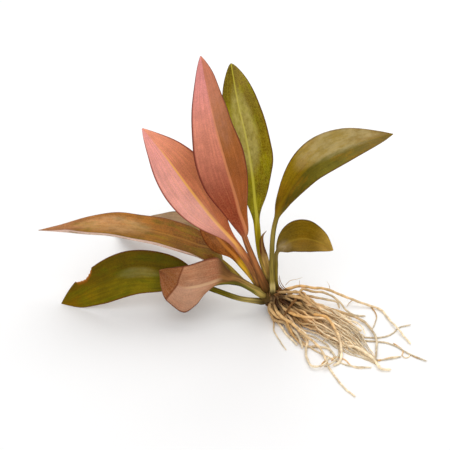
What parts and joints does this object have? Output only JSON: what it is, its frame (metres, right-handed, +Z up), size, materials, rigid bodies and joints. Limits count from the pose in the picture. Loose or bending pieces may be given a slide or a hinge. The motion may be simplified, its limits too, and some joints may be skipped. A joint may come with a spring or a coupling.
{
  "type": "amazon sword plant",
  "caption": "Bare-rooted aquarium sword plant with red, orange and olive blade leaves and a tan root fan.",
  "frame": {"origin": "middle of the box around the plant, at the level that it rests on", "axes": "+X towards the root fan and away from the long leaf, +Y to the back, +Z up"},
  "size_m": [0.1898, 0.1358, 0.1525],
  "materials": {
    "crown": "damp dark bark",
    "leaf_pink": "satin, wet",
    "leaf_brown": "satin, wet",
    "leaf_orange": "satin, wet",
    "leaf_olive": "glossy, wet",
    "leaf_dark": "glossy, wet",
    "leaf_folded": "satin, wilted",
    "root": "matt, damp"
  },
  "bodies": {
    "root": {"crown": "crown", "leaf_tall_pink": "leaf_pink", "leaf_left_pink": "leaf_pink", "leaf_left_brown": "leaf_brown", "leaf_long_left": "leaf_orange", "leaf_torn": "leaf_dark", "leaf_folded": "leaf_folded", "leaf_green": "leaf_olive", "leaf_right": "leaf_olive", "leaf_small": "leaf_olive", "leaf_back": "leaf_olive", "spear": "leaf_olive", "root_top_long": "root", "root_top_short": "root", "root_hooked": "root", "root_side": "root", "root_thin_right": "root", "root_far_right": "root", "root_thick_front": "root", "root_curled": "root", "root_loop": "root", "root_bent": "root", "root_front_long": "root", "root_thin_front": "root", "root_crossing": "root", "root_end_right": "root", "root_cut": "root", "root_inner": "root", "root_bundle_left": "root", "root_bundle_middle": "root", "root_bundle_right": "root", "root_fan_01": "root", "root_fan_02": "root", "root_fan_03": "root", "root_fan_04": "root", "root_fan_05": "root", "root_fan_06": "root", "root_fan_07": "root", "root_fan_08": "root", "root_fan_09": "root", "root_fan_10": "root", "root_fan_11": "root", "root_fan_12": "root", "root_fan_13": "root", "root_fan_14": "root", "root_fan_15": "root", "root_fan_16": "root", "root_fan_17": "root", "root_fan_18": "root"}
  },
  "joints": []
}
